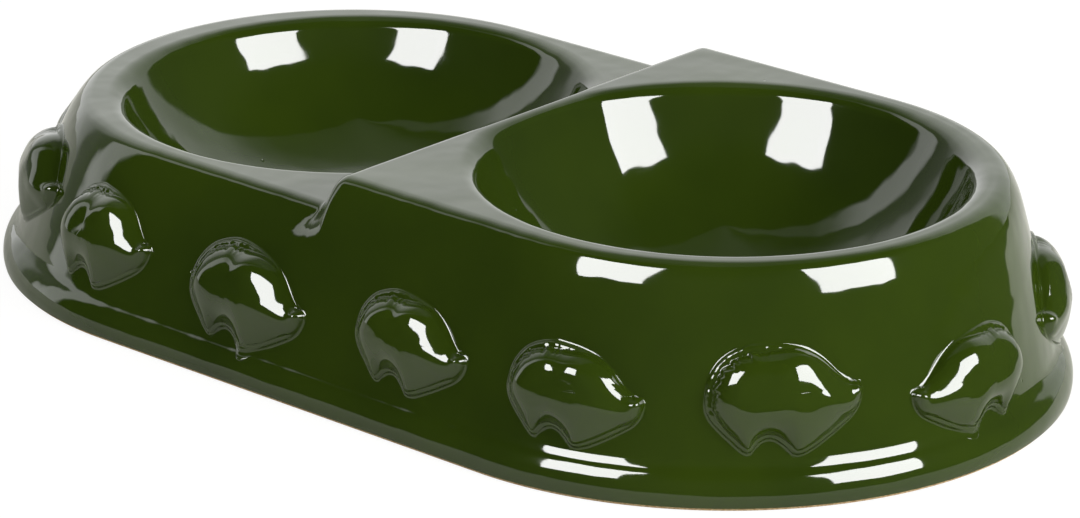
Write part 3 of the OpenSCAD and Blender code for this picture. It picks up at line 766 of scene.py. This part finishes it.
def sprig_tree(guide, half, glaze):
    """Geometry nodes that bend the flat sprig round the wall at its place."""
    tree = bpy.data.node_groups.new("sprig_on_wall", "GeometryNodeTree")
    interface = tree.interface
    interface.new_socket("Geometry", in_out="INPUT", socket_type="NodeSocketGeometry")
    for name, value in (("Place", 0.0), ("Facing", 1.0), ("Foot height", HEDGEHOG_FOOT * MM),
                        ("Tilt", 0.0), ("Length", 1.0), ("Height", 1.0), ("Fullness", 1.0),
                        ("Seed", 0.0)):
        interface.new_socket(name, in_out="INPUT", socket_type="NodeSocketFloat").default_value = value
    interface.new_socket("Geometry", in_out="OUTPUT", socket_type="NodeSocketGeometry")
    inputs = add(tree, "NodeGroupInput").outputs
    position = add(tree, "GeometryNodeInputPosition").outputs[0]
    normal = add(tree, "GeometryNodeInputNormal").outputs[0]
    at = add(tree, "ShaderNodeSeparateXYZ", {0: position}).outputs

    # Tilt lowers the nose about the belly, then the sprig is carried to its place on the wall's map
    reach = add(tree, "ShaderNodeMath", {0: at["X"], 1: inputs["Length"]},
                operation="MULTIPLY").outputs[0]
    rise = add(tree, "ShaderNodeMath", {0: at["Y"], 1: inputs["Height"]}, operation="MULTIPLY")
    drop = add(tree, "ShaderNodeMath", {0: reach, 1: inputs["Tilt"]}, operation="MULTIPLY")
    tilted = add(tree, "ShaderNodeMath", {0: rise.outputs[0], 1: drop.outputs[0]}, operation="SUBTRACT")
    up = add(tree, "ShaderNodeMath", {0: tilted.outputs[0], 1: inputs["Foot height"]})
    ahead = add(tree, "ShaderNodeMath", {0: reach, 1: inputs["Facing"]}, operation="MULTIPLY")
    along = add(tree, "ShaderNodeMath", {0: inputs["Place"], 1: ahead.outputs[0]})
    span = 2 * (half + GUIDE_OVERRUN) * MM
    round_wall = add(tree, "ShaderNodeMath", {0: along.outputs[0]}, {1: span}, operation="DIVIDE")
    map_x = add(tree, "ShaderNodeMath", {0: round_wall.outputs[0]}, {1: 0.5})
    map_y = add(tree, "ShaderNodeMath", {0: up.outputs[0]}, {1: GUIDE_HEIGHT * MM}, operation="DIVIDE")
    spot = add(tree, "ShaderNodeCombineXYZ", {0: map_x.outputs[0], 1: map_y.outputs[0]}).outputs[0]
    wall = add(tree, "GeometryNodeObjectInfo", None, {"Object": guide}).outputs["Geometry"]
    wall_map = add(tree, "GeometryNodeInputNamedAttribute", None, {"Name": "wall_map"},
                   data_type="FLOAT_VECTOR").outputs[0]
    seat, outward = [add(tree, "GeometryNodeSampleUVSurface",
                         {"Mesh": wall, "Value": value, "Source UV Map": wall_map, "Sample UV": spot},
                         data_type="FLOAT_VECTOR").outputs[0] for value in (position, normal)]

    # Hand-pressed sprigs differ by up to an eighth in how full they are, over lengths of about 11 mm
    press = add(tree, "ShaderNodeTexNoise", {"Vector": position, "W": inputs["Seed"]},
                {"Scale": 90.0, "Detail": 1.5}, noise_dimensions="4D")
    uneven = add(tree, "ShaderNodeMath", {0: press.outputs[0]}, {1: 0.5}, operation="SUBTRACT")
    more = add(tree, "ShaderNodeMath", {0: uneven.outputs[0]}, {1: 0.24}, operation="MULTIPLY")
    fuller = add(tree, "ShaderNodeMath", {0: inputs["Fullness"], 1: more.outputs[0]})
    stand = add(tree, "ShaderNodeMath", {0: at["Z"], 1: fuller.outputs[0]}, operation="MULTIPLY")
    straight_out = add(tree, "ShaderNodeVectorMath", {0: outward}, operation="NORMALIZE")
    off = add(tree, "ShaderNodeVectorMath", {0: straight_out.outputs[0], "Scale": stand.outputs[0]},
              operation="SCALE")
    point = add(tree, "ShaderNodeVectorMath", {0: seat, 1: off.outputs[0]})
    bent = add(tree, "GeometryNodeSetPosition",
               {"Geometry": inputs["Geometry"], "Position": point.outputs[0]}).outputs[0]
    # One that faces the other way is mirrored, so its faces are turned
    turned = add(tree, "GeometryNodeFlipFaces", {"Mesh": bent}).outputs[0]
    mirrored = add(tree, "FunctionNodeCompare", {"A": inputs["Facing"]}, operation="LESS_THAN")
    chosen = add(tree, "GeometryNodeSwitch",
                 {"Switch": mirrored.outputs[0], "False": bent, "True": turned}, input_type="GEOMETRY")
    real = add(tree, "GeometryNodeRealizeInstances", {"Geometry": chosen.outputs[0]})
    glazed = add(tree, "GeometryNodeSetMaterial", {"Geometry": real.outputs[0]}, {"Material": glaze})
    add(tree, "NodeGroupOutput", {"Geometry": glazed.outputs[0]})
    return tree


def press_hedgehogs(glaze):
    """Bends one sprig round the wall for every hedgehog, and keeps each as a plain mesh."""
    guide, half = wall_guide()
    tree = sprig_tree(guide, half, glaze)
    holder = bpy.data.objects.new("hedgehog_press", hedgehog_sprig())
    bpy.context.scene.collection.objects.link(holder)
    modifier = holder.modifiers.new("sprig_on_wall", "NODES")
    modifier.node_group = tree
    sockets = {item.name: item.identifier for item in tree.interface.items_tree
               if item.in_out == "INPUT"}
    spacing = 2 * half / HEDGEHOG_COUNT
    seed_step = 1.7
    shapes = []
    for index in range(HEDGEHOG_COUNT):
        shift, lift, droop, length, height = PRESSED.get(index, UNPRESSED)
        place = (index - LEADING_HEDGEHOGS + PLACE_SHARES[index]) * spacing + shift
        values = {"Place": place * MM, "Facing": 1.0 if index < LEADING_HEDGEHOGS else -1.0,
                  "Foot height": (HEDGEHOG_FOOT + lift) * MM, "Tilt": droop, "Length": length,
                  "Height": height, "Fullness": 1.0, "Seed": index * seed_step}
        for name, value in values.items():
            modifier[sockets[name]] = value
        holder.update_tag()
        bpy.context.view_layer.update()
        ready = holder.evaluated_get(bpy.context.evaluated_depsgraph_get())
        shape = bpy.data.meshes.new_from_object(ready)
        shape.name = "hedgehog_relief_%02d" % (index + 1)
        shapes.append(shape)
    bpy.data.objects.remove(holder)
    bpy.data.objects.remove(guide)
    return shapes


# Stage, light and camera

def white_sweep():
    """White table that stays white to the camera and still keeps the bowl's soft shadow."""
    half_size = 4.0
    paper_end = 0.188
    white = linear("#ffffff")
    white_share, white_glow = 0.85, 1.08
    mesh = bpy.data.meshes.new("white_table")
    mesh.from_pydata([(-half_size, -half_size, 0), (half_size, -half_size, 0),
                      (half_size, half_size, 0), (-half_size, half_size, 0)], [], [(0, 1, 2, 3)])
    table = bpy.data.objects.new("white_table", mesh)
    bpy.context.scene.collection.objects.link(table)
    material, tree = new_material("white_table_sweep")
    path = add(tree, "ShaderNodeLightPath").outputs
    matte = add(tree, "ShaderNodeBsdfDiffuse", None, {"Color": linear("#f0efe7")})
    glow = add(tree, "ShaderNodeEmission", None, {"Color": white, "Strength": white_glow})
    share = add(tree, "ShaderNodeMath", {0: path["Is Camera Ray"]}, {1: white_share},
                operation="MULTIPLY")
    sheet = add(tree, "ShaderNodeMixShader",
                {0: share.outputs[0], 1: matte.outputs[0], 2: glow.outputs[0]})
    # The bright paper ends 40 mm past the upper end, and the glaze mirrors the dark table beyond it
    at = add(tree, "ShaderNodeSeparateXYZ", {0: add(tree, "ShaderNodeTexCoord").outputs["Object"]})
    past = add(tree, "ShaderNodeMath", {0: at.outputs["X"]}, {1: paper_end}, operation="GREATER_THAN")
    dark = add(tree, "ShaderNodeMath", {0: past.outputs[0], 1: path["Is Glossy Ray"]},
               operation="MULTIPLY")
    table_top = add(tree, "ShaderNodeBsdfDiffuse", None, {"Color": linear("#3f3f3f")})
    both = add(tree, "ShaderNodeMixShader",
               {0: dark.outputs[0], 1: sheet.outputs[0], 2: table_top.outputs[0]})
    add(tree, "ShaderNodeOutputMaterial", {"Surface": both.outputs[0]})
    mesh.materials.append(material)


# Brightness of the studio that the glaze mirrors, by the turn round the bowl: 0 and 1 at its back,
# 0.25 at its lower end, 0.5 in front, 0.75 at its upper end
STUDIO_LEVELS = ((0.0, 0.45), (0.08, 0.6), (0.15, 0.8), (0.195, 0.75), (0.22, 0.55), (0.245, 0.4),
                 (0.258, 0.15), (0.282, 0.1), (0.286, 0.95), (0.317, 0.95), (0.322, 0.005),
                 (0.45, 0.015), (0.55, 0.03), (0.8, 0.03), (0.95, 0.03), (0.974, 0.04), (0.98, 0.45))


def studio_world():
    """White to the camera and even light for the colours. The glaze mirrors a studio of its own: a
    bright paper wall behind the bowl, a narrow lit strip left of it, and the dark room on the
    camera's side."""
    world = bpy.data.worlds.new("studio")
    bpy.context.scene.world = world
    world.use_nodes = True
    tree = world.node_tree
    tree.nodes.clear()
    path = add(tree, "ShaderNodeLightPath").outputs
    direction = add(tree, "ShaderNodeTexCoord").outputs["Generated"]
    heading = add(tree, "ShaderNodeSeparateXYZ", {0: direction}).outputs
    front = add(tree, "ShaderNodeMath", {0: heading["Y"]}, {1: -1.0}, operation="MULTIPLY")
    turn = add(tree, "ShaderNodeMath", {0: heading["X"], 1: front.outputs[0]}, operation="ARCTAN2")
    share = add(tree, "ShaderNodeMapRange", {"Value": turn.outputs[0]},
                {"From Min": -math.pi, "From Max": math.pi})
    round_bowl = add(tree, "ShaderNodeValToRGB", {"Fac": share.outputs["Result"]})
    ramp(round_bowl, [(place, (level, level, level, 1.0)) for place, level in STUDIO_LEVELS])
    # Up to 37 degrees above the table the studio is twice that bright, and past 60 degrees a third
    high = add(tree, "ShaderNodeMapRange", {"Value": heading["Z"]},
               {"From Min": 0.6, "From Max": 0.87, "To Min": 2.0, "To Max": 0.3},
               interpolation_type="SMOOTHSTEP")
    glossy = add(tree, "ShaderNodeBackground",
                 {"Color": round_bowl.outputs["Color"], "Strength": high.outputs["Result"]})
    soft = add(tree, "ShaderNodeBackground", None, {"Color": linear("#ffffff"), "Strength": 0.7})
    white = add(tree, "ShaderNodeBackground", None, {"Color": linear("#ffffff"), "Strength": 1.0})
    first = add(tree, "ShaderNodeMixShader",
                {0: path["Is Glossy Ray"], 1: soft.outputs[0], 2: glossy.outputs[0]})
    second = add(tree, "ShaderNodeMixShader",
                 {0: path["Is Camera Ray"], 1: first.outputs[0], 2: white.outputs[0]})
    add(tree, "ShaderNodeOutputWorld", {"Surface": second.outputs[0]})


def looking(place, back, roll):
    """Matrix of a lamp or camera at a place, its back along a direction, rolled in radians."""
    right = np.cross(-back, [0.0, 0.0, 1.0])
    right = right / np.linalg.norm(right)
    up = np.cross(right, -back)
    turned = math.cos(roll) * right + math.sin(roll) * up
    upright = -math.sin(roll) * right + math.cos(roll) * up
    return Matrix([list(row) for row in zip(turned, upright, back, place)] + [[0, 0, 0, 1]])


def softbox(name, place, width, height, radiance, mirrored, roll=0.0):
    """Rectangular softbox that faces the bowl: either only mirrored in the glaze or only lighting
    its colour. Place and size in metres, roll in degrees."""
    bowl_middle = [0.02, 0.0, 0.03]
    light = bpy.data.lights.new(name, "AREA")
    light.shape = "RECTANGLE"
    light.size = width
    light.size_y = height
    light.energy = radiance * width * height * math.pi
    lamp = bpy.data.objects.new(name, light)
    bpy.context.scene.collection.objects.link(lamp)
    lamp.visible_diffuse = not mirrored
    lamp.visible_glossy = mirrored
    back = np.array(place) - bowl_middle
    lamp.matrix_world = looking(np.array(place), back / np.linalg.norm(back), math.radians(roll))


def product_camera():
    """The photograph's view: a long lens from the front right, a little above the bowl."""
    place = np.array([0.7359, -0.8257, 0.42875])
    azimuth, elevation, roll = math.radians(41.1), math.radians(20.69), math.radians(0.36)
    # Focal length and shift in the photograph's pixels
    picture_width, focal_length, shift_x, shift_y = 1080, 4817.53, -29.37, 6.11
    sensor = 36.0
    data = bpy.data.cameras.new("product_camera")
    camera = bpy.data.objects.new("product_camera", data)
    bpy.context.scene.collection.objects.link(camera)
    bpy.context.scene.camera = camera
    back = np.array([math.sin(azimuth) * math.cos(elevation),
                     -math.cos(azimuth) * math.cos(elevation), math.sin(elevation)])
    camera.matrix_world = looking(place, back, roll)
    data.sensor_fit = "HORIZONTAL"
    data.sensor_width = sensor
    data.lens = sensor * focal_length / picture_width
    data.shift_x = shift_x / picture_width
    data.shift_y = shift_y / picture_width
    data.clip_end = 20.0


# Building

def add_piece(name, mesh, nodes, material):
    """Adds a finished mesh as a piece that stands for CAD nodes."""
    piece = bpy.data.objects.new(name, mesh)
    bpy.context.scene.collection.objects.link(piece)
    mesh.materials.clear()
    mesh.materials.append(material)
    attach(piece, "root")
    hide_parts(*nodes)


glaze = bottle_green_glaze()
clay = bare_stoneware()

points, behind, faces, tags = cast_body()
points, behind, faces = weld(points, behind, faces)
normals = skin_normals(points, faces)
for tag, (name, node) in enumerate(SKIN_PIECES):
    mesh = closed_piece(name, points, behind, faces[tags == tag], normals)
    add_piece(name, mesh, [node], glaze)

add_piece("foot_ring_bare", foot_ring_mesh(), ["foot_ring"], clay)

for number, shape in enumerate(press_hedgehogs(glaze), 1):
    add_piece("hedgehog_glazed_%02d" % number, shape, ["hedgehog_relief_%02d" % number],
              glaze)

white_sweep()
studio_world()
softbox("softbox_left", place=(0.0, -0.54, 0.485), width=0.31, height=0.36, radiance=20,
        mirrored=True, roll=9)
softbox("softbox_right", place=(1.05, 0.08, 0.68), width=0.62, height=0.76, radiance=20,
        mirrored=True, roll=-10)
softbox("daylight_right", place=(1.05, 0.12, 0.63), width=0.65, height=0.80, radiance=6,
        mirrored=False)
product_camera()
bpy.context.scene.view_settings.view_transform = "Standard"
